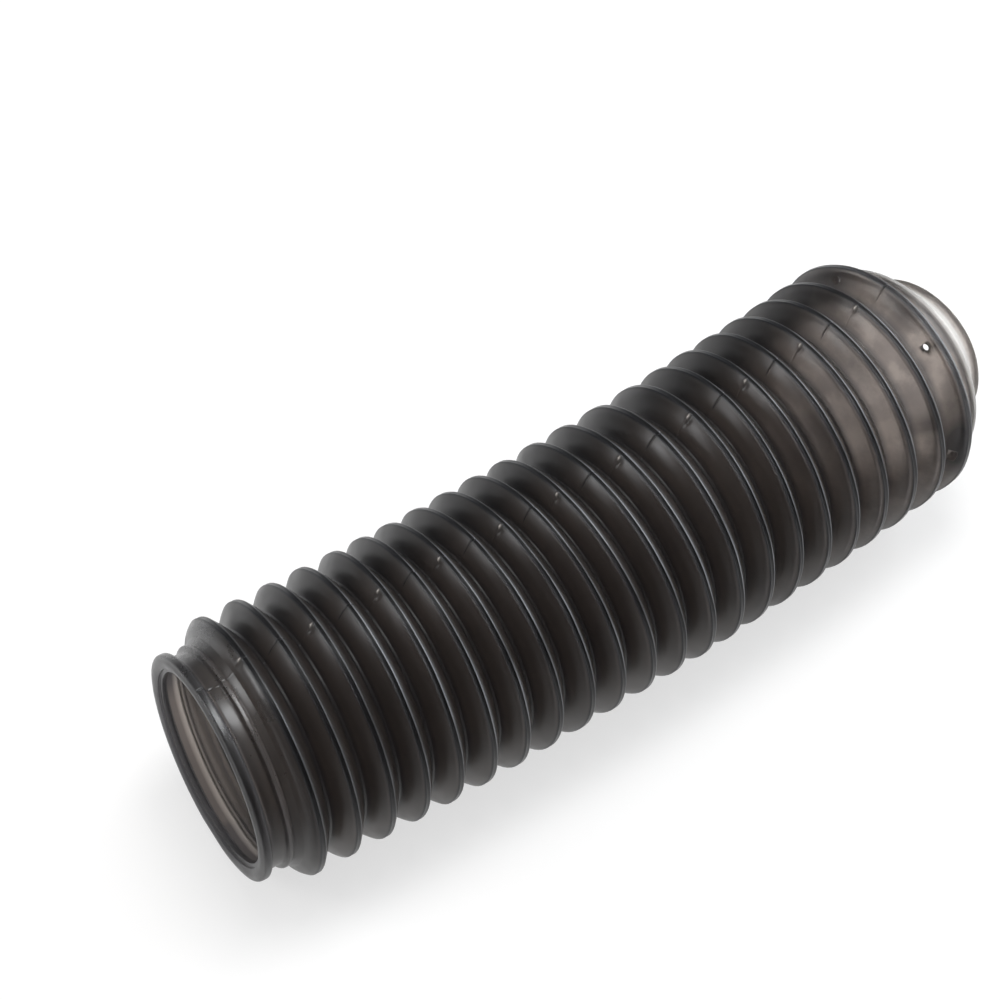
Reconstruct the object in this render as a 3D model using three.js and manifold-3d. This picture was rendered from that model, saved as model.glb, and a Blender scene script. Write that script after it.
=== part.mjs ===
// Fork gaiter: a bellows moulded as one piece in smoke-grey rubber, lying on its side.
// Units are millimetres, +X runs from the large cuff to the small cuff and +Z is up.
// A profile is a list of points (distance from the large mouth, radius).
import * as THREE from 'three';
import { mergeVertices } from 'three/addons/utils/BufferGeometryUtils.js';
import Module from 'manifold-3d';

// Bellows
const CREST_DIAMETER = 80;
const FOLD_COUNT = 22;
const FOLD_PITCH = 11;
const FOLD_DEPTH = 6.5;
const CREST_LAND = 1.4;
const VALLEY_LAND = 0.8;
const WALL = 1.6;

// Cuffs: each has a mouth lip, a seat for the clamp, a shoulder up to a ridge and a band that leads to the folds.
const LARGE_CUFF = {
  boreDiameter: 59,
  lipDiameter: 70,
  lipLength: 2.4,
  seatDiameter: 66,
  seatLength: 4,
  shoulderLength: 0.6,
  ridgeDiameter: 69,
  ridgeLength: 1,
  bandDiameter: 71,
  bandLength: 2,
  coneLength: 3,
};
const SMALL_CUFF = {
  boreDiameter: 42,
  lipDiameter: 51,
  lipLength: 2.2,
  seatDiameter: 47,
  seatLength: 4.6,
  shoulderLength: 3,
  ridgeDiameter: 69,
  ridgeLength: 1,
  bandDiameter: 70,
  bandLength: 2,
  coneLength: 3.2,
};
const REBATE_WIDTH = 1.2;
const REBATE_DEPTH = 0.8;
const STEP_RUN = 0.6;
const NICK_DEPTH = 0.5;

// Breather holes through the near flank of the last fold
const VENT_COUNT = 6;
const VENT_DIAMETER = 2.4;
const VENT_SIDES = 10;

// How the soft moulding lies: a flat under each crest, and a slight sideways bow
const REST_WIDTH = 14;
const BOW_RADIUS = 1300;

const SEGMENTS = 30;

const crestRadius = CREST_DIAMETER / 2;
const valleyRadius = crestRadius - FOLD_DEPTH;
const flankRun = (FOLD_PITCH - CREST_LAND - VALLEY_LAND) / 2;
const flankSlope = Math.atan2(FOLD_DEPTH, flankRun);
const firstCrest = cuffLength(LARGE_CUFF) + CREST_LAND / 2;
const lastCrest = firstCrest + (FOLD_COUNT - 1) * FOLD_PITCH;
const length = lastCrest + CREST_LAND / 2 + cuffLength(SMALL_CUFF);

function cuffLength(cuff) {
  const clampPart = cuff.lipLength + STEP_RUN + cuff.seatLength + cuff.shoulderLength;
  return clampPart + cuff.ridgeLength + STEP_RUN + cuff.bandLength + cuff.coneLength;
}

// Outside of a cuff, from its mouth inwards; the cone that follows ends at the crest.
function cuffOutside(cuff) {
  const lip = cuff.lipDiameter / 2;
  const seat = cuff.seatDiameter / 2;
  const ridge = cuff.ridgeDiameter / 2;
  const band = cuff.bandDiameter / 2;
  const seatStart = cuff.lipLength + STEP_RUN;
  const seatEnd = seatStart + cuff.seatLength;
  const ridgeStart = seatEnd + cuff.shoulderLength;
  const ridgeEnd = ridgeStart + cuff.ridgeLength;
  const bandStart = ridgeEnd + STEP_RUN;
  return [
    [0, lip],
    [cuff.lipLength, lip],
    [seatStart, seat],
    [seatEnd, seat],
    [ridgeStart, ridge],
    [ridgeEnd, ridge],
    [bandStart, ridge - NICK_DEPTH],
    [bandStart + cuff.bandLength, band],
  ];
}

// Inside of a cuff: a rebated mouth, a bore collar, then one wall below the outside.
function cuffInside(cuff) {
  const bore = cuff.boreDiameter / 2;
  const seat = cuff.seatDiameter / 2 - WALL;
  const ridge = cuff.ridgeDiameter / 2 - WALL;
  const band = cuff.bandDiameter / 2 - WALL;
  const seatEnd = cuff.lipLength + STEP_RUN + cuff.seatLength;
  const bandEnd = cuffLength(cuff) - cuff.coneLength;
  const shoulderHeight = (cuff.ridgeDiameter - cuff.seatDiameter) / 2;
  const shoulderTurn = Math.atan2(shoulderHeight, cuff.shoulderLength) / 2;
  const wallShift = WALL * Math.tan(shoulderTurn);
  return [
    [0, bore + REBATE_WIDTH],
    [REBATE_DEPTH, bore + REBATE_WIDTH],
    [REBATE_DEPTH, bore],
    [cuff.lipLength, bore],
    [cuff.lipLength + STEP_RUN, seat],
    [seatEnd + wallShift, seat],
    [seatEnd + wallShift + cuff.shoulderLength, ridge],
    [bandEnd + WALL / 2, band],
  ];
}

function mirrored(points) {
  return points.map(([distance, radius]) => [length - distance, radius]).reverse();
}

function foldsOutside() {
  const points = [];
  for (let fold = 0; fold < FOLD_COUNT; fold += 1) {
    const crest = firstCrest + fold * FOLD_PITCH;
    points.push([crest - CREST_LAND / 2, crestRadius]);
    points.push([crest + CREST_LAND / 2, crestRadius]);
    if (fold < FOLD_COUNT - 1) {
      const valley = crest + FOLD_PITCH / 2;
      points.push([valley - VALLEY_LAND / 2, valleyRadius]);
      points.push([valley + VALLEY_LAND / 2, valleyRadius]);
    }
  }
  return points;
}

// The inside of each crest comes to an edge; the inside of each valley is wider by the wall.
function foldsInside() {
  const valleyHalf = VALLEY_LAND / 2 + WALL * Math.tan(flankSlope / 2);
  const points = [];
  for (let fold = 0; fold < FOLD_COUNT; fold += 1) {
    const crest = firstCrest + fold * FOLD_PITCH;
    points.push([crest, crestRadius - WALL]);
    if (fold < FOLD_COUNT - 1) {
      const valley = crest + FOLD_PITCH / 2;
      points.push([valley - valleyHalf, valleyRadius - WALL]);
      points.push([valley + valleyHalf, valleyRadius - WALL]);
    }
  }
  return points;
}

// Closed section of the wall: along the outside, then back along the inside.
function wallSection() {
  const outside = [...cuffOutside(LARGE_CUFF), ...foldsOutside(), ...mirrored(cuffOutside(SMALL_CUFF))];
  const inside = [...cuffInside(LARGE_CUFF), ...foldsInside(), ...mirrored(cuffInside(SMALL_CUFF))];
  const loop = [...outside, ...inside.reverse()];
  loop.push(loop[0]);
  return loop.map(([distance, radius]) => new THREE.Vector2(radius, distance));
}

// Angle of a lathe column from straight down; the facet between the last and the first is the rest flat.
function columnAngle(column) {
  const restHalfAngle = Math.asin(REST_WIDTH / CREST_DIAMETER);
  const step = (2 * Math.PI - 2 * restHalfAngle) / (SEGMENTS - 1);
  return restHalfAngle + (column % SEGMENTS) * step;
}

function straightTube() {
  const section = wallSection();
  const geometry = new THREE.LatheGeometry(section, SEGMENTS);
  const position = geometry.attributes.position;
  for (let index = 0; index < position.count; index += 1) {
    const angle = columnAngle(Math.floor(index / section.length));
    const point = section[index % section.length];
    position.setXYZ(index, point.y, point.x * Math.sin(angle), -point.x * Math.cos(angle));
  }
  return geometry;
}

// A cylinder square to the near flank of the last fold, at one angle from the top.
function ventCutter(number) {
  const cutter = new THREE.CylinderGeometry(VENT_DIAMETER / 2, VENT_DIAMETER / 2, 4 * WALL, VENT_SIDES);
  const distance = lastCrest - CREST_LAND / 2 - flankRun / 2;
  const radius = crestRadius - FOLD_DEPTH / 2;
  cutter.rotateY(Math.PI / VENT_SIDES);
  cutter.applyMatrix4(new THREE.Matrix4().makeBasis(
    new THREE.Vector3(0, 1, 0),
    new THREE.Vector3(-Math.sin(flankSlope), 0, Math.cos(flankSlope)),
    new THREE.Vector3(Math.cos(flankSlope), 0, Math.sin(flankSlope)),
  ));
  cutter.translate(distance, 0, radius);
  cutter.rotateX((number + 0.5) * 2 * Math.PI / VENT_COUNT);
  return cutter;
}

// The bow is an arc in plan whose centre lies towards +Y.
function bow(geometry) {
  const position = geometry.attributes.position;
  for (let index = 0; index < position.count; index += 1) {
    const turn = (position.getX(index) - length / 2) / BOW_RADIUS;
    const reach = BOW_RADIUS - position.getY(index);
    position.setXYZ(index, reach * Math.sin(turn), BOW_RADIUS - reach * Math.cos(turn), position.getZ(index));
  }
}

// Origin under the middle of the part, on the surface it lies on.
function standOnOrigin(geometry) {
  geometry.computeBoundingBox();
  const { min, max } = geometry.boundingBox;
  geometry.translate(-(min.x + max.x) / 2, -(min.y + max.y) / 2, -min.z);
}

const wasm = await Module();
wasm.setup();

function toSolid(geometry) {
  geometry.deleteAttribute('normal');
  geometry.deleteAttribute('uv');
  const merged = mergeVertices(geometry);
  return new wasm.Manifold(new wasm.Mesh({
    numProp: 3,
    vertProperties: merged.attributes.position.array,
    triVerts: Uint32Array.from(merged.index.array),
  }));
}

function toGeometry(solid) {
  const mesh = solid.getMesh();
  const geometry = new THREE.BufferGeometry();
  geometry.setAttribute('position', new THREE.BufferAttribute(Float32Array.from(mesh.vertProperties), 3));
  geometry.setIndex(new THREE.BufferAttribute(Uint32Array.from(mesh.triVerts), 1));
  return geometry;
}

function gaiterGeometry() {
  let solid = toSolid(straightTube());
  for (let number = 0; number < VENT_COUNT; number += 1) {
    solid = solid.subtract(toSolid(ventCutter(number)));
  }
  const geometry = toGeometry(solid);
  bow(geometry);
  standOnOrigin(geometry);
  geometry.computeVertexNormals();
  return geometry;
}

const rubber = new THREE.MeshStandardMaterial({ color: 0x3d3836, roughness: 0.45, metalness: 0 });

const gaiter = new THREE.Mesh(gaiterGeometry(), rubber);
gaiter.name = 'gaiter';

const group = new THREE.Group();
group.add(gaiter);

export default group;
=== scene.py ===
# Looks of the fork gaiter: one fine moulded skin in smoke-grey rubber, a floor, studio light and the camera.
# The gaiter's own lengths are in millimetres; everything that goes into the scene is in metres.
# s is the distance from the large mouth along the axis, r the radius, and theta runs from the top towards +Y.
import math

import bpy
import numpy as np
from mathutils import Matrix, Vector


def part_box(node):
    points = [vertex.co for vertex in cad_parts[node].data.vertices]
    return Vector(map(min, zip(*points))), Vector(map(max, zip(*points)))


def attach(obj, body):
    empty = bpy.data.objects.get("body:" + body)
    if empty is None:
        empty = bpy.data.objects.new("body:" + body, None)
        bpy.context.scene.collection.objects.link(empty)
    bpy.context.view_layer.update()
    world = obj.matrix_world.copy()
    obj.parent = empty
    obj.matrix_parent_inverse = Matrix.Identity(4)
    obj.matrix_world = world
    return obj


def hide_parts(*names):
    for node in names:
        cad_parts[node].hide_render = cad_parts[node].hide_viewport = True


MM = 0.001

# Bellows, the same sizes as the solid
CREST_R = 40.0
FOLDS = 22
PITCH = 11.0
DEPTH = 6.5
CREST_LAND = 1.4
VALLEY_LAND = 0.8
WALL = 1.6
REST_WIDTH = 14.0
BOW_RADIUS = 1300.0
VALLEY_R = CREST_R - DEPTH
FLANK_RUN = (PITCH - CREST_LAND - VALLEY_LAND) / 2
FLANK_SLOPE = math.atan2(DEPTH, FLANK_RUN)
REST_HALF = math.asin(REST_WIDTH / 2 / CREST_R)

# Cuffs, the same sizes as the solid: diameters, the rounding behind the lip, then lengths along the axis
LARGE = dict(bore=59.0, lip=70.0, seat=66.0, ridge=69.0, band=71.0, lip_back=0.8,
             lip_run=2.4, seat_run=4.0, shoulder_run=0.6, ridge_run=1.0, band_run=2.0, cone_run=3.0)
SMALL = dict(bore=42.0, lip=51.0, seat=47.0, ridge=69.0, band=70.0, lip_back=1.3,
             lip_run=2.2, seat_run=4.6, shoulder_run=3.0, ridge_run=1.0, band_run=2.0, cone_run=3.2)
REBATE_WIDTH = 1.2
REBATE_DEPTH = 0.8
STEP_RUN = 0.6
NICK_DEPTH = 0.5

# Breather holes through the near flank of the last fold
VENTS = 6
VENT_R = 1.2
VENT_SIDES = 16

# Rounded corners of the section: fillet radius and steps
MOUTH_EDGE = (0.7, 5)
SOFT_CORNER = (1.2, 4)
SEAT_END_CORNER = (0.6, 3)
RIDGE_CORNER = (0.3, 3)
BAND_START_CORNER = (0.25, 3)
REBATE_CORNER = (0.2, 3)
INNER_CUFF_CORNER = (0.3, 3)
INNER_BAND_CORNER = (0.6, 3)
NEAR_EDGE = (0.25, 4)
GROOVE = (1.5, 1)
FAR_EDGE = (0.6, 4)
VALLEY_CORNER = (0.3, 2)
INNER_CREST_CORNER = (0.8, 2)
INNER_VALLEY_CORNER = (0.8, 1)
LIP_BACK_STEPS = 4

# Fine form of the folds
CREST_DIP = 0.12
NEAR_FLANK_BULGE = 0.45
FAR_FLANK_BULGE = 0.2

# Mesh fineness: longest steps along the section, extra rows below the near side of a crest, and columns
LONGEST_STEP = 1.9
FAR_FLANK_STEP = 3.5
INNER_STEP = 8.0
FINE_CUFF_RUN = 24.0
NEAR_CREST_ROWS = (3.0, 2.4, 1.8, 1.2, 0.6)
SEAM_COLUMNS_REACH = 1.2
SEAM_COLUMNS = 13
BESIDE_SEAM_COLUMNS = (1.6, 2.1, 2.8, 3.8, 5.2)
COARSE_COLUMNS = 86

# Soft unevenness: strength in mm and seed, then for the painted highlight on the crest edges a share and a seed
WAVE_TURNS = (2, 3, 5, 7, 11, 17)
FOLD_SWELL = (0.05, 5)
LONG_SWELL = (0.03, 6)
CREST_DRIFT = (0.06, 7)
HIGHLIGHT_CHANGE = (0.22, 9)

# Parting line along the top, with flash and a dent on the odd folds and a nick on the even ones
SEAM_ANGLE = math.radians(3.4)
SEAM_HEIGHT = 0.13
SEAM_WIDTH = 0.22
NICK_DEEP = 0.5
NICK_WIDTH = 0.26
NICK_MIDDLE = -1.1
NICK_HALF_LENGTH = 2.4
FLASH_HEIGHT = 0.6
FLASH_WIDTH = 0.6
FLASH_LENGTH = 0.55
FLASH_MIDDLE = -1.5
DENT_SHARE = 0.7
DENT_SIZE = (0.7, 0.8)
DENT_MIDDLE = (-1.0, -2.0)

# How each fold lies: at a few folds, its shift along the axis in mm, its turn in degrees and its lean
LIE = {
    1: (0.7, -0.2, 0.012), 3: (1.1, -0.9, 0.016), 5: (0.9, -1.1, 0.013), 7: (-0.25, 0.9, -0.003),
    9: (-1.3, 2.2, 0.0), 11: (-1.3, 1.4, -0.055), 13: (-1.3, 0.8, -0.035), 14: (-0.8, -0.5, -0.003),
    15: (0.2, -1.9, 0.03), 16: (0.5, -2.6, 0.038), 17: (0.6, -2.5, 0.014), 19: (0.6, -1.9, 0.02),
    21: (1.0, -0.1, 0.035), 22: (0.95, 0.0, 0.059),
}
SMALL_MOUTH_TURN = 3.5
SMALL_MOUTH_LEAN = 0.14

# Dark patches on the near flanks: fold, mm from its crest, angle from the top in degrees, length, width, depth
DARK_PATCHES = [
    (22, -2.5, -84, 5.0, 19.0, 1.3), (22, -2.2, -12, 2.5, 5.0, 0.85), (22, -1.6, -32, 1.1, 1.5, 0.9),
    (21, -2.5, -62, 3.0, 4.5, 0.95), (21, -2.0, 14, 3.0, 6.0, 0.75), (20, -2.5, -20, 2.5, 6.0, 0.6),
    (18, -2.5, -35, 2.5, 8.0, 0.45),
]

# Bands of painted light and shade inside: where each starts, is full, fades and ends, in mm from the large mouth
INNER_BRIGHT = (5.6, 5.9, 7.3, 7.6)
INNER_LINE = (7.6, 7.9, 8.8, 9.2)
INNER_LIT = (9.1, 9.5, 13.0, 13.6)
INNER_SHADOW = (13.4, 14.0, 20.0, 22.0)
INNER_LINE_DEPTH = 0.8
INNER_SHADOW_DEPTH = 0.6
INNER_LIT_SHARE = 0.28

# Parts darkened as painted shade, in mm from the large mouth: the lip up to the first, and the valleys from the
# second
DARK_LIP_RUN = 3.0
DARK_VALLEYS_FROM = 17.0

# The small end, in mm from the small mouth: the dark line as painted shade, the neck painted near-white as painted
# backlight, the rim of the lip, and the run over which the folds are painted lighter as painted backlight
NECK_LINE = (12.6, 12.1, 11.6, 11.3)
NECK_LINE_DEPTH = 0.8
WHITE_NECK_RUN = (11.6, 11.0)
RIM_RUN = 3.0
RIM_RADII = (24.2, 24.9)
BACKLIT_FAR_RUN = (90, 10)

# How much each area adds to the shine
SHINE_BASE = 0.24
SHINE = dict(cuff=0.64, land=-0.12, far_edge=0.8, sheen=0.5, flash=0.8, upper_back=-0.20, low_front=-0.11)

# Colours of the rubber; several of them are painted light and shade
SMOKE = (0.178, 0.154, 0.142, 1)
# Lighter smoke towards the small end: painted backlight, standing in for light coming through the walls there
BACKLIT_SMOKE = (0.355, 0.308, 0.283, 1)
CLOUD = (0.12, 0.108, 0.105, 1)
# Lighter mottling, laid only over the painted backlight at the small end
MOTTLE = (0.62, 0.54, 0.48, 1)
# Near-black on the crest lands: painted shade, where the rubber is thickest and lets less light through
CREST_SHADE = (0.025, 0.026, 0.030, 1)
# Light grey on the crest edges: painted highlight, with less light let through there
HIGHLIGHT_GREY = (0.24, 0.25, 0.265, 1)
# Dark grey: painted shade on the large lip, in the valleys, on the upper back of the folds and on the low front of
# the large cuff
SHADE_GREY = (0.05, 0.055, 0.065, 1)
# Near-black: painted shade in the nicks, along the line at the small end's neck and on the inner line and shadow,
# and the dark patches
SHADE_AND_PATCH_BLACK = (0.02, 0.02, 0.022, 1)
# Light beige: painted light on the bands inside the large cuff, standing in for light through the thin wall, and the
# painted glint on the flash
GLOW = (0.90, 0.82, 0.74, 1)
# Near-white of the neck at the small end: painted backlight; it also lets the light through untinted
BACKLIT_WHITE = (0.95, 0.94, 0.92, 1)
NO_SHINE = (0, 0, 0, 1)
FULL_SHINE = (0.96, 0.98, 1.0, 1)

# Stage
FLOOR_SIZE = 12
FLOOR_WHITE = 0.64
FLOOR_COLOUR = (0.93, 0.925, 0.92, 1)
HORIZON = (0.05, 0.05, 0.053, 1)
ZENITH = (0.50, 0.50, 0.50, 1)
ZENITH_START = 0.8
SENSOR = 36.0
FOCAL_PIXELS = 3109.33
IMAGE_WIDTH = 1000
CAMERA_AT = (-0.35767, -0.43984, 0.76919)
CAMERA_DOWN = 51.1
CAMERA_YAW = -36.53


def cuff_length(cuff):
    clamp_part = cuff["lip_run"] + STEP_RUN + cuff["seat_run"] + cuff["shoulder_run"]
    return clamp_part + cuff["ridge_run"] + STEP_RUN + cuff["band_run"] + cuff["cone_run"]


FIRST_CREST = cuff_length(LARGE) + CREST_LAND / 2
LAST_CREST = FIRST_CREST + (FOLDS - 1) * PITCH
LENGTH = LAST_CREST + CREST_LAND / 2 + cuff_length(SMALL)


def cuff_outside(cuff):
    """Outside corners of a cuff, from its mouth inwards: distance, radius, fillet radius and fillet steps."""
    lip, seat, ridge, band = (cuff[key] / 2 for key in ("lip", "seat", "ridge", "band"))
    seat_start = cuff["lip_run"] + STEP_RUN
    seat_end = seat_start + cuff["seat_run"]
    ridge_start = seat_end + cuff["shoulder_run"]
    ridge_end = ridge_start + cuff["ridge_run"]
    band_start = ridge_end + STEP_RUN
    return [
        (0, lip, *MOUTH_EDGE),
        (cuff["lip_run"], lip, cuff["lip_back"], LIP_BACK_STEPS),
        (seat_start, seat, *SOFT_CORNER),
        (seat_end, seat, *SEAT_END_CORNER),
        (ridge_start, ridge, *RIDGE_CORNER),
        (ridge_end, ridge, *RIDGE_CORNER),
        (band_start, ridge - NICK_DEPTH, *BAND_START_CORNER),
        (band_start + cuff["band_run"], band, *SOFT_CORNER),
    ]


def cuff_inside(cuff):
    """Inside corners of a cuff, from its mouth inwards."""
    bore, seat, ridge, band = (cuff[key] / 2 for key in ("bore", "seat", "ridge", "band"))
    seat_end = cuff["lip_run"] + STEP_RUN + cuff["seat_run"]
    band_end = cuff_length(cuff) - cuff["cone_run"]
    shift = WALL * math.tan(math.atan2(ridge - seat, cuff["shoulder_run"]) / 2)
    return [
        (0, bore + REBATE_WIDTH, *INNER_CUFF_CORNER),
        (REBATE_DEPTH, bore + REBATE_WIDTH, *REBATE_CORNER),
        (REBATE_DEPTH, bore, *INNER_CUFF_CORNER),
        (cuff["lip_run"], bore, *INNER_CUFF_CORNER),
        (cuff["lip_run"] + STEP_RUN, seat - WALL, *INNER_CUFF_CORNER),
        (seat_end + shift, seat - WALL, *INNER_CUFF_CORNER),
        (seat_end + shift + cuff["shoulder_run"], ridge - WALL, *INNER_CUFF_CORNER),
        (band_end + WALL / 2, band - WALL, *INNER_BAND_CORNER),
    ]


def mirrored(corners):
    return [(LENGTH - s, r, radius, steps) for s, r, radius, steps in reversed(corners)]


def folds_outside():
    corners = []
    for fold in range(FOLDS):
        crest = FIRST_CREST + fold * PITCH
        corners.append((crest - CREST_LAND / 2, CREST_R, *NEAR_EDGE))
        corners.append((crest, CREST_R - CREST_DIP, *GROOVE))
        corners.append((crest + CREST_LAND / 2, CREST_R, *FAR_EDGE))
        if fold < FOLDS - 1:
            valley = crest + PITCH / 2
            corners += [(valley + side * VALLEY_LAND / 2, VALLEY_R, *VALLEY_CORNER) for side in (-1, 1)]
    return corners


def folds_inside():
    valley_half = VALLEY_LAND / 2 + WALL * math.tan(FLANK_SLOPE / 2)
    corners = []
    for fold in range(FOLDS):
        crest = FIRST_CREST + fold * PITCH
        corners.append((crest, CREST_R - WALL, *INNER_CREST_CORNER))
        if fold < FOLDS - 1:
            valley = crest + PITCH / 2
            corners += [(valley + side * valley_half, VALLEY_R - WALL, *INNER_VALLEY_CORNER) for side in (-1, 1)]
    return corners


def filleted(corners):
    """Closed polyline through the corners with each one rounded by an arc."""
    longest_cut = 0.45
    points = []
    count = len(corners)
    for index, (s, r, radius, steps) in enumerate(corners):
        here = np.array([s, r])
        before = np.array(corners[index - 1][:2]) - here
        after = np.array(corners[(index + 1) % count][:2]) - here
        reach_before, reach_after = np.linalg.norm(before), np.linalg.norm(after)
        before, after = before / reach_before, after / reach_after
        half = math.acos(np.clip(before @ after, -1, 1)) / 2
        cut = min(radius / math.tan(half), longest_cut * reach_before, longest_cut * reach_after)
        arc_radius = cut * math.tan(half)
        bisector = (before + after) / np.linalg.norm(before + after)
        centre = here + bisector * math.hypot(cut, arc_radius)
        start = here + before * cut - centre
        end = here + after * cut - centre
        turn = math.atan2(start[0] * end[1] - start[1] * end[0], start @ end)
        for step in range(steps + 1):
            angle = turn * step / steps
            cos, sin = math.cos(angle), math.sin(angle)
            points.append(centre + np.array([cos * start[0] - sin * start[1], sin * start[0] + cos * start[1]]))
    return np.array(points)


def subdivided(points):
    """Adds points on long stretches, closer below the near side of a crest; the outer flanks bulge slightly."""
    out = []
    for here, there in zip(points, np.roll(points, -1, axis=0)):
        gap = there - here
        reach = np.linalg.norm(gap)
        outward = np.array([-gap[1], gap[0]]) / reach
        flank = reach > 3.0 and abs(gap[1]) > 2.0 and outward[1] > 0
        rising = gap[1] > 0
        longest = LONGEST_STEP
        if flank and not rising:
            longest = FAR_FLANK_STEP
        elif outward[1] < 0 and FINE_CUFF_RUN < here[0] < LENGTH - FINE_CUFF_RUN:
            longest = INNER_STEP
        pieces = max(1, math.ceil(reach / longest))
        shares = [piece / pieces for piece in range(pieces)]
        bulge = 0.0
        if flank:
            bulge = NEAR_FLANK_BULGE if rising else FAR_FLANK_BULGE
        if flank and rising:
            finer = [1 - distance / reach for distance in NEAR_CREST_ROWS]
            shares = [share for share in shares if share < finer[0] - 0.05] + finer
        out += [here + gap * share + outward * bulge * 4 * share * (1 - share) for share in shares]
    return np.array(out)


def wall_section():
    """Closed section of the wall, and for each point whether it belongs to the outside."""
    outside = cuff_outside(LARGE) + folds_outside() + mirrored(cuff_outside(SMALL))
    inside = cuff_inside(LARGE) + folds_inside() + mirrored(cuff_inside(SMALL))
    points = subdivided(filleted(outside + inside[::-1]))
    turn_back = int(np.argmax(points[:, 0] > LENGTH - 1e-6))
    return points, np.arange(len(points)) <= turn_back


def column_angles():
    """Column angles, about a fifth of a millimetre apart at the parting line and wider away from it."""
    near = np.linspace(-SEAM_COLUMNS_REACH, SEAM_COLUMNS_REACH, SEAM_COLUMNS)
    beside = np.array(BESIDE_SEAM_COLUMNS)
    fine = SEAM_ANGLE + np.concatenate([-beside[::-1], near, beside]) / CREST_R
    coarse = np.linspace(fine[-1], fine[0] + 2 * math.pi, COARSE_COLUMNS + 2)[1:-1]
    return np.concatenate([fine, coarse])


def waves(theta, fold, strength, seed):
    """Soft unevenness round the gaiter that differs from fold to fold."""
    draw = np.random.default_rng(seed)
    total = np.zeros_like(theta)
    for turns in WAVE_TURNS:
        phase = draw.uniform(0, 2 * math.pi)
        drift = draw.uniform(0.4, 1.9)
        total += np.sin(turns * theta + phase + drift * fold) / math.sqrt(turns)
    return total * strength


def wrapped(theta):
    """The angle between -pi and pi."""
    return np.angle(np.exp(1j * theta))


def on_seam(s, theta):
    """Distance across the parting line, fold number from 0, and distance along from that fold's crest."""
    fold = np.rint((s - FIRST_CREST) / PITCH)
    return wrapped(theta - SEAM_ANGLE) * CREST_R, fold, s - FIRST_CREST - fold * PITCH


def odd_fold(fold):
    """Whether the fold is the first, third and so on, where the fold number runs from 0."""
    return (fold % 2 == 0) & (fold >= 0) & (fold < FOLDS)


def nicked(s, theta):
    """Share of the nick across the top of the even folds."""
    across, fold, from_crest = on_seam(s, theta)
    even = (fold % 2 == 1) & (fold < FOLDS)
    within = even & (np.abs(from_crest - NICK_MIDDLE) < NICK_HALF_LENGTH)
    return np.where(within, np.exp(-(across / NICK_WIDTH) ** 2), 0)


def flashed(s, theta):
    """Share of the lump of flash below the crest of the odd folds."""
    across, fold, from_crest = on_seam(s, theta)
    lump = np.exp(-(across / FLASH_WIDTH) ** 2 - ((from_crest - FLASH_MIDDLE) / FLASH_LENGTH) ** 2)
    return np.where(odd_fold(fold), lump, 0)


def darkened_patches(s, theta):
    """Share of the dark patches."""
    total = np.zeros_like(s)
    for fold, from_crest, degrees, length, width, depth in DARK_PATCHES:
        along = (s - FIRST_CREST - (fold - 1) * PITCH - from_crest) / length
        around = wrapped(theta - math.radians(degrees)) * CREST_R / width
        total = total + depth * np.exp(-along ** 2 - around ** 2)
    return total


def seam_relief(s, theta, outer):
    """Height of the parting line: a fine raised line, flash and a dent on the odd folds, a nick on the even ones."""
    across, fold, from_crest = on_seam(s, theta)
    line = SEAM_HEIGHT * np.exp(-(across / SEAM_WIDTH) ** 2)
    across_dent = (across - DENT_MIDDLE[0]) / DENT_SIZE[0]
    along_dent = (from_crest - DENT_MIDDLE[1]) / DENT_SIZE[1]
    dent = np.where(odd_fold(fold), np.exp(-across_dent ** 2 - along_dent ** 2), 0)
    lump = FLASH_HEIGHT * (flashed(s, theta) - DENT_SHARE * dent)
    return np.where(outer, line + lump - NICK_DEEP * nicked(s, theta), 0)


def lie(s):
    """Shift, turn and lean of the gaiter at the distance s, between the values given for some folds."""
    folds = np.array(list(LIE))
    values = np.array(list(LIE.values()))
    at = np.concatenate([[0], FIRST_CREST + (folds - 1) * PITCH, [LENGTH]])
    first = [0, values[0][1], values[0][2]]
    last = [values[-1][0], SMALL_MOUTH_TURN, SMALL_MOUTH_LEAN]
    values = np.vstack([first, values, last])
    shift, turn, lean = (np.interp(s, at, values[:, k]) for k in range(3))
    return shift, np.radians(turn), lean


def laid(s, r, theta):
    """Positions in millimetres of points on the gaiter as it lies: bowed in plan, with flats under the crests."""
    from_down = np.abs(wrapped(theta - math.pi))
    flat = math.cos(REST_HALF) / np.cos(np.minimum(from_down, REST_HALF))
    r = r * np.where(from_down < REST_HALF, flat, 1.0)
    side, up = r * np.sin(theta), r * np.cos(theta)
    shift, turn, lean = lie(s)
    bow = (s + shift - LENGTH / 2) / BOW_RADIUS
    x = BOW_RADIUS * np.sin(bow) - side * np.sin(bow + turn) + lean * up
    y = BOW_RADIUS * (1 - np.cos(bow)) + side * np.cos(bow + turn)
    return np.stack([x, y, up], axis=-1)


def placed(points):
    """Millimetres round the gaiter's own middle to metres in the frame of the solid."""
    low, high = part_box("gaiter")
    axis_y = low[1] + CREST_R * MM
    axis_z = low[2] + CREST_R * math.cos(REST_HALF) * MM
    return points * MM + np.array([(low[0] + high[0]) / 2, axis_y, axis_z])


def smooth_step(value, start, end):
    share = np.clip((value - start) / (end - start), 0, 1)
    return share * share * (3 - 2 * share)


def banded(s, start, full, fade, end):
    """One between full and fade, and nothing before start or after end."""
    return smooth_step(s, start, full) - smooth_step(s, fade, end)


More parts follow.
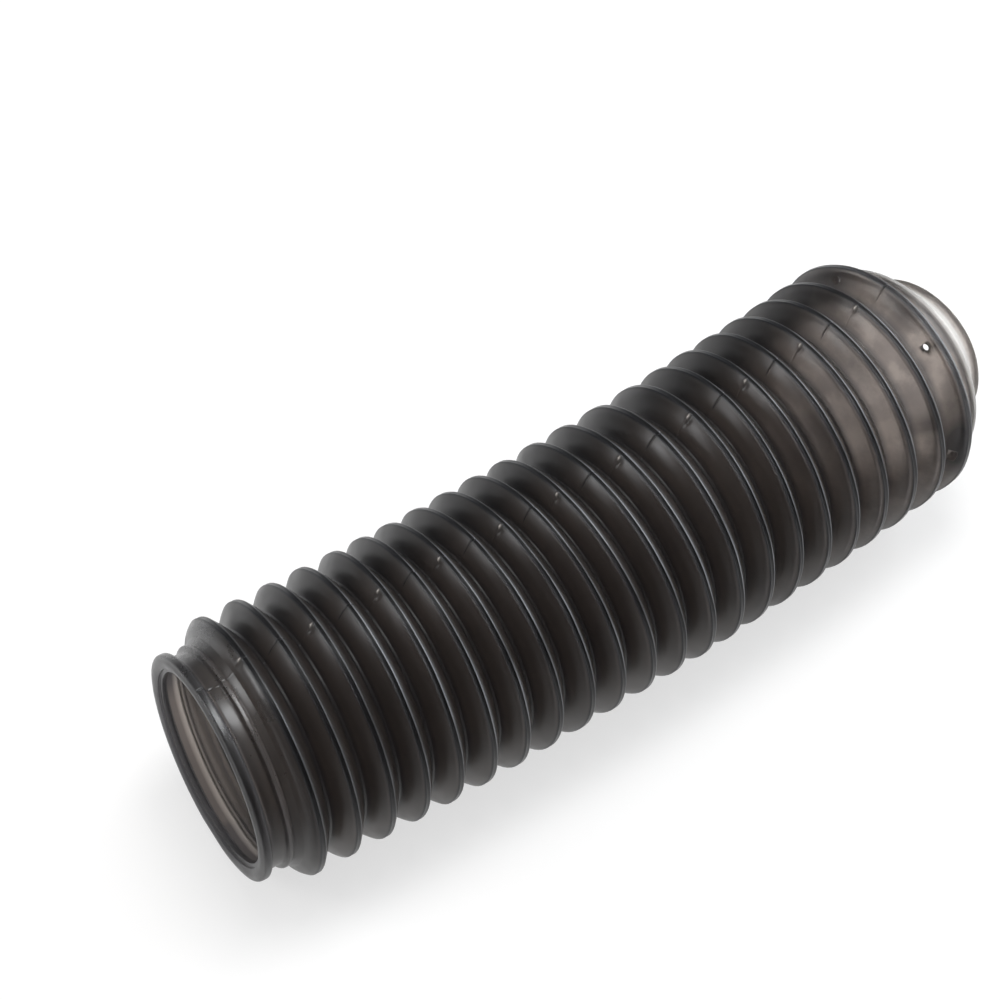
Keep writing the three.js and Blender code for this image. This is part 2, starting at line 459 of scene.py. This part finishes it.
def skin_positions(s, r, theta, outer):
    """Positions of the skin, with its soft unevenness and the parting line."""
    fold = (s - FIRST_CREST) / PITCH
    crest = smooth_step(r, VALLEY_R + 2, CREST_R) * (outer | (r > VALLEY_R))
    uneven = waves(theta, np.rint(fold), *FOLD_SWELL) * (0.35 + crest) + waves(theta, fold, *LONG_SWELL)
    off_rest = smooth_step(np.abs(wrapped(theta - math.pi)), REST_HALF, REST_HALF + 0.5)
    along = s + waves(theta, np.rint(fold), *CREST_DRIFT) * crest * off_rest
    radius = r + uneven * off_rest + seam_relief(s, theta, outer)
    return placed(laid(along, radius, theta))


def skin_values(s, r, theta, outer):
    """Values from 0 to 1 for the material, one for each thing that the rubber's look depends on; several paint light
    and shade into the colour.
    """
    across, fold, from_crest = on_seam(s, theta)
    from_top = wrapped(theta)
    on_fold = outer & (fold >= 0) & (fold < FOLDS)
    before_last = s < LAST_CREST

    land = on_fold * smooth_step(r, CREST_R - 0.5, CREST_R - 0.1)
    far_edge = land * smooth_step(from_crest, 0.35, 0.55)
    near_edge = land * (from_crest < -0.45)
    # Valley bottoms, darkened below as painted shade
    in_valley = outer & (np.abs(r - VALLEY_R) < 0.35) & (s > DARK_VALLEYS_FROM) & before_last
    on_cuff = outer * (s < FIRST_CREST - 1) * smooth_step(from_top, -1.1, -0.5) * (from_top < 1.2)
    upper_back = smooth_step(from_top, 0.1, 0.6) * (1 - smooth_step(from_top, 1.3, 1.9))
    low_front = smooth_step(-from_top, 1.0, 1.5)
    high_flank = smooth_step(r, CREST_R - 4.5, CREST_R - 0.5) * (from_crest < -0.6) * on_fold
    sheen = high_flank * smooth_step(-across, -9.0, 0.0) * (1 - smooth_step(-across, 3.0, 20.0))
    flash = flashed(s, theta) * outer

    areas = dict(cuff=on_cuff, land=land, far_edge=far_edge, sheen=sheen, flash=flash,
                 upper_back=upper_back, low_front=low_front)
    shine = SHINE_BASE + sum(SHINE[key] * area for key, area in areas.items())

    # Strength of the painted highlight along the crest edges: strongest from the top round to the front, varying
    # along each fold and weaker on the first three folds
    edge_highlight = 0.25 + 0.75 * smooth_step(-from_top, -0.35, 0.0) * (1 - smooth_step(-from_top, 1.2, 1.7))
    edge_highlight = edge_highlight * np.clip(0.8 + waves(theta, fold, *HIGHLIGHT_CHANGE), 0.35, 1.0)
    edge_highlight = edge_highlight * np.where(fold < 3, 0.6, 1.0)

    # Painted glint on the lump of flash, small and bright
    painted_glint = flash ** 3
    # Painted shade along the line at the small end's neck
    neck_line = banded(s, *(LENGTH - distance for distance in NECK_LINE))
    rim = smooth_step(r, *RIM_RADII) * (s > LENGTH - RIM_RUN)
    off_front = smooth_step(np.abs(wrapped(theta + math.pi / 3)), 0.5, 1.6)

    # Painted shade in the nicks and along the neck line, with the dark patches, outside; painted shade on the inner
    # line and the inner shadow, inside
    outer_shade_and_patches = nicked(s, theta) + NECK_LINE_DEPTH * neck_line + darkened_patches(s, theta)
    inner_shade = INNER_LINE_DEPTH * banded(s, *INNER_LINE) + INNER_SHADOW_DEPTH * banded(s, *INNER_SHADOW)
    # Painted light inside the large cuff, standing in for light coming through the thin wall
    inner_glow = banded(s, *INNER_BRIGHT) + INNER_LIT_SHARE * banded(s, *INNER_LIT)
    # Painted shade on the upper back of the folds and on the low front of the large cuff
    dark_sides = upper_back * before_last + 0.6 * low_front * (s < FIRST_CREST)
    return {
        # Crest lands, painted near-black as painted shade
        "crest": land,
        # Painted highlight on both crest edges, stronger on the edge towards the small end, and the painted glint on
        # the flash
        "painted_highlight": np.clip(edge_highlight * (far_edge + 0.3 * near_edge) + painted_glint, 0, 1),
        "shine": np.clip(shine, 0, 1),
        "cuff": on_cuff,
        # Painted backlight: lighter towards the small mouth, less so on the lower front
        "backlit_far": smooth_step(s, *(LENGTH - distance for distance in BACKLIT_FAR_RUN)) * (1 - 0.55 * off_front),
        # Painted shade and the dark patches
        "shade_and_patches": np.where(outer, outer_shade_and_patches, inner_shade),
        # Painted glint on the flash outside, painted light on the bands inside
        "glow": np.where(outer, painted_glint, inner_glow),
        # Painted shade: full on the large lip and in the valleys, and on the upper back and the low front of the
        # large cuff
        "painted_shade": np.where((s < DARK_LIP_RUN) | in_valley, 1.0, dark_sides),
        # Painted backlight: the neck by the small mouth painted near-white, all but the rim of the lip
        "clear": smooth_step(s, *(LENGTH - distance for distance in WHITE_NECK_RUN)) * (1 - rim),
    }


def new_object(name, vertices, faces):
    mesh = bpy.data.meshes.new(name)
    mesh.from_pydata(vertices.reshape(-1, 3).tolist(), [], faces)
    mesh.validate()
    piece = bpy.data.objects.new(name, mesh)
    bpy.context.scene.collection.objects.link(piece)
    return piece


def skin_object(name):
    """The section at every column, joined to a closed skin, with the values for the material."""
    section, outer = wall_section()
    angles = column_angles()
    shape = (len(angles), len(section))
    s = np.broadcast_to(section[:, 0], shape)
    r = np.broadcast_to(section[:, 1], shape)
    outer = np.broadcast_to(outer, shape)
    theta = np.broadcast_to(angles[:, None], shape)

    index = np.arange(s.size).reshape(shape)
    side = np.roll(index, -1, axis=0)
    faces = np.stack([index, np.roll(index, -1, axis=1), np.roll(side, -1, axis=1), side], axis=-1)
    piece = new_object(name, skin_positions(s, r, theta, outer), faces.reshape(-1, 4).tolist())
    for key, data in skin_values(s, r, theta, outer).items():
        layer = piece.data.attributes.new(key, "FLOAT", "POINT")
        layer.data.foreach_set("value", np.ascontiguousarray(data, dtype=np.float32).ravel())
    piece.data.shade_smooth()
    return piece


def vent_cutter(number):
    """Closed cylinder through the near flank of the last fold, square to the flank as it lies."""
    s = LAST_CREST - CREST_LAND / 2 - FLANK_RUN / 2
    r = CREST_R - DEPTH / 2
    theta = (number + 0.5) * 2 * math.pi / VENTS
    out_s, out_r = -2 * WALL * math.sin(FLANK_SLOPE), 2 * WALL * math.cos(FLANK_SLOPE)
    outer, inner = (placed(laid(s + k * out_s, r + k * out_r, np.float64(theta))) for k in (1, -1))
    turn = Vector(outer - inner).to_track_quat("Z", "Y")
    vertices = []
    for end in (inner, outer):
        for step in range(VENT_SIDES):
            angle = 2 * math.pi * step / VENT_SIDES
            around = turn @ Vector((math.cos(angle), math.sin(angle), 0)) * VENT_R * MM
            vertices.append(Vector(end) + around)
    ring = list(range(VENT_SIDES))
    faces = [ring[::-1], [VENT_SIDES + step for step in ring]]
    faces += [[a, b, b + VENT_SIDES, a + VENT_SIDES] for a, b in zip(ring, ring[1:] + ring[:1])]
    return new_object(f"vent_cutter_{number}", np.array(vertices), faces)


def cut_vents(piece):
    for number in range(VENTS):
        cutter = vent_cutter(number)
        cut = piece.modifiers.new("vent", "BOOLEAN")
        cut.operation = "DIFFERENCE"
        cut.solver = "MANIFOLD"
        cut.object = cutter
        bpy.context.view_layer.objects.active = piece
        bpy.ops.object.modifier_apply(modifier=cut.name)
        bpy.data.objects.remove(cutter, do_unlink=True)


class Nodes:
    """Short calls for building a material's nodes."""

    def __init__(self, name):
        self.material = bpy.data.materials.new(name)
        self.material.use_nodes = True
        self.tree = self.material.node_tree
        self.shader = self.tree.nodes["Principled BSDF"]

    def node(self, kind, **inputs):
        made = self.tree.nodes.new(kind)
        for key, value in inputs.items():
            self.put(made.inputs[key.replace("_", " ")], value)
        return made

    def put(self, socket, value):
        if hasattr(value, "is_output"):
            self.tree.links.new(value, socket)
        else:
            socket.default_value = value

    def math(self, operation, a, b):
        made = self.tree.nodes.new("ShaderNodeMath")
        made.operation = operation
        self.put(made.inputs[0], a)
        self.put(made.inputs[1], b)
        return made.outputs[0]

    def mix(self, factor, a, b):
        made = self.tree.nodes.new("ShaderNodeMix")
        made.data_type = "RGBA"
        self.put(made.inputs["Factor"], factor)
        self.put(made.inputs[6], a)
        self.put(made.inputs[7], b)
        return made.outputs[2]

    def spread(self, value, low, high, to_low, to_high):
        made = self.node("ShaderNodeMapRange", From_Min=low, From_Max=high, To_Min=to_low, To_Max=to_high)
        self.put(made.inputs["Value"], value)
        return made.outputs["Result"]

    def noise(self, scale, detail, roughness=0.5):
        made = self.node("ShaderNodeTexNoise", Scale=scale, Detail=detail, Roughness=roughness)
        self.put(made.inputs["Vector"], self.node("ShaderNodeTexCoord").outputs["Object"])
        return made.outputs["Fac"]

    def attribute(self, name):
        made = self.tree.nodes.new("ShaderNodeAttribute")
        made.attribute_name = name
        return made.outputs["Fac"]


def rubber_material():
    """Smoke-grey rubber that lets light through, coloured by the values on the skin, with light and shade partly
    painted into the colour.
    """
    n = Nodes("smoke_rubber")
    keys = ("crest", "painted_highlight", "shine", "cuff", "backlit_far", "shade_and_patches", "glow", "painted_shade", "clear")
    crest, painted_highlight, shine, cuff, backlit_far, shade_and_patches, glow, painted_shade, clear = (n.attribute(key) for key in keys)
    cloud = n.spread(n.noise(50, 5, 0.6), 0.35, 0.65, 0.0, 0.5)
    # Lighter mottling within the painted backlight
    mottle = n.math("MULTIPLY", n.spread(n.noise(120, 4, 0.6), 0.48, 0.62, 0.0, 0.4), backlit_far)
    # Painted backlight: the smoke turns lighter towards the small end
    colour = n.mix(backlit_far, SMOKE, BACKLIT_SMOKE)
    for share, tint in (
        (cloud, CLOUD),
        (mottle, MOTTLE),
        # painted shade on the crest lands
        (crest, CREST_SHADE),
        # painted highlight on the crest edges
        (n.math("MULTIPLY", painted_highlight, 0.9), HIGHLIGHT_GREY),
        # painted shade on the lip, valleys, upper back and low front
        (n.math("MULTIPLY", painted_shade, 0.7), SHADE_GREY),
        # painted shade and the dark patches
        (n.math("MULTIPLY", shade_and_patches, 0.9), SHADE_AND_PATCH_BLACK),
        # painted glint and painted light inside the large cuff
        (glow, GLOW),
        # painted backlight on the neck at the small end
        (clear, BACKLIT_WHITE),
    ):
        colour = n.mix(share, colour, tint)
    n.put(n.shader.inputs["Base Color"], colour)
    rough = n.spread(n.noise(140, 5, 0.6), 0.3, 0.7, 0.28, 0.40)
    smoother = n.spread(cuff, 0, 1, 1.0, 0.85)
    n.put(n.shader.inputs["Roughness"], n.math("MULTIPLY", rough, smoother))
    bump = n.node("ShaderNodeBump", Strength=0.15, Distance=0.0001)
    n.put(bump.inputs["Height"], n.noise(350, 2))
    n.put(n.shader.inputs["Normal"], bump.outputs["Normal"])
    n.put(n.shader.inputs["Specular Tint"], n.mix(shine, NO_SHINE, FULL_SHINE))
    # Less light let through where the highlight is painted, so that it shows as light grey
    n.put(n.shader.inputs["Transmission Weight"], n.spread(painted_highlight, 0, 1, 0.9, 0.2))
    n.shader.inputs["IOR"].default_value = 1.5
    return n.material


def floor_material():
    """White sweep: to the camera and in reflections it is mostly plain white, and it keeps a soft shadow."""
    n = Nodes("floor_white")
    n.shader.inputs["Base Color"].default_value = FLOOR_COLOUR
    n.shader.inputs["Roughness"].default_value = 0.9
    rays = n.node("ShaderNodeLightPath").outputs
    reflected = n.math("MAXIMUM", rays["Is Glossy Ray"], rays["Is Transmission Ray"])
    seen = n.math("MAXIMUM", rays["Is Camera Ray"], reflected)
    white = n.node("ShaderNodeEmission", Strength=1.0)
    blend = n.node("ShaderNodeMixShader")
    n.put(blend.inputs[0], n.math("MULTIPLY", seen, FLOOR_WHITE))
    n.put(blend.inputs[1], n.shader.outputs["BSDF"])
    n.put(blend.inputs[2], white.outputs["Emission"])
    n.put(n.tree.nodes["Material Output"].inputs["Surface"], blend.outputs["Shader"])
    return n.material


def add_floor():
    bpy.ops.mesh.primitive_plane_add(size=FLOOR_SIZE, location=(0, 0, 0))
    floor = bpy.context.object
    floor.name = "floor"
    floor.data.materials.append(floor_material())


def add_area_light(name, location, target, size, watts, colour=(1, 1, 1)):
    data = bpy.data.lights.new(name, "AREA")
    data.shape = "RECTANGLE"
    data.size, data.size_y = size
    data.energy = watts
    data.color = colour
    lamp = bpy.data.objects.new(name, data)
    lamp.location = location
    lamp.rotation_euler = (Vector(target) - Vector(location)).to_track_quat("-Z", "Y").to_euler()
    bpy.context.scene.collection.objects.link(lamp)


def add_world():
    """A soft studio: light from above, dim towards the horizon."""
    world = bpy.data.worlds.new("studio")
    bpy.context.scene.world = world
    world.use_nodes = True
    nodes, links = world.node_tree.nodes, world.node_tree.links
    coordinates = nodes.new("ShaderNodeTexCoord")
    split = nodes.new("ShaderNodeSeparateXYZ")
    ramp = nodes.new("ShaderNodeValToRGB")
    links.new(coordinates.outputs["Generated"], split.inputs["Vector"])
    links.new(split.outputs["Z"], ramp.inputs["Fac"])
    links.new(ramp.outputs["Color"], nodes["Background"].inputs["Color"])
    for element, position, colour in zip(ramp.color_ramp.elements, (0.0, ZENITH_START), (HORIZON, ZENITH)):
        element.position = position
        element.color = colour
    nodes["Background"].inputs["Strength"].default_value = 1.0


def add_camera():
    data = bpy.data.cameras.new("camera")
    data.sensor_width = SENSOR
    data.lens = SENSOR * FOCAL_PIXELS / IMAGE_WIDTH
    camera = bpy.data.objects.new("camera", data)
    camera.location = CAMERA_AT
    camera.rotation_euler = (math.radians(90 - CAMERA_DOWN), 0, math.radians(CAMERA_YAW))
    bpy.context.scene.collection.objects.link(camera)
    bpy.context.scene.camera = camera


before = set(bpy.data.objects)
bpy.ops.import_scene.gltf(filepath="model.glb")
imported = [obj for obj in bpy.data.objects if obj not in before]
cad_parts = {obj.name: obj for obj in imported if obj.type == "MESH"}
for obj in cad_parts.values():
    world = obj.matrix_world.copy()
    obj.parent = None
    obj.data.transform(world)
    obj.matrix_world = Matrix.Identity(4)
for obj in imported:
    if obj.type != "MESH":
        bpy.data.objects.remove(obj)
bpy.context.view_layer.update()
add_camera()
add_world()
add_floor()
add_area_light("overhead_softbox", (0.13, 0.08, 1.25), (0, 0, 0.04), (0.45, 0.6), 10)
add_area_light("right_softbox", (0.95, -0.1, 0.45), (0.05, -0.05, 0.06), (0.8, 0.7), 8.0, (0.93, 0.96, 1.0))
add_area_light("left_softbox", (-0.9, 0.5, 0.62), (0, 0, 0.05), (0.5, 0.35), 4.0)
skin = skin_object("gaiter_skin")
cut_vents(skin)
skin.data.materials.clear()
skin.data.materials.append(rubber_material())
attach(skin, "root")
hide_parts("gaiter")
bpy.context.scene.view_settings.view_transform = "Standard"
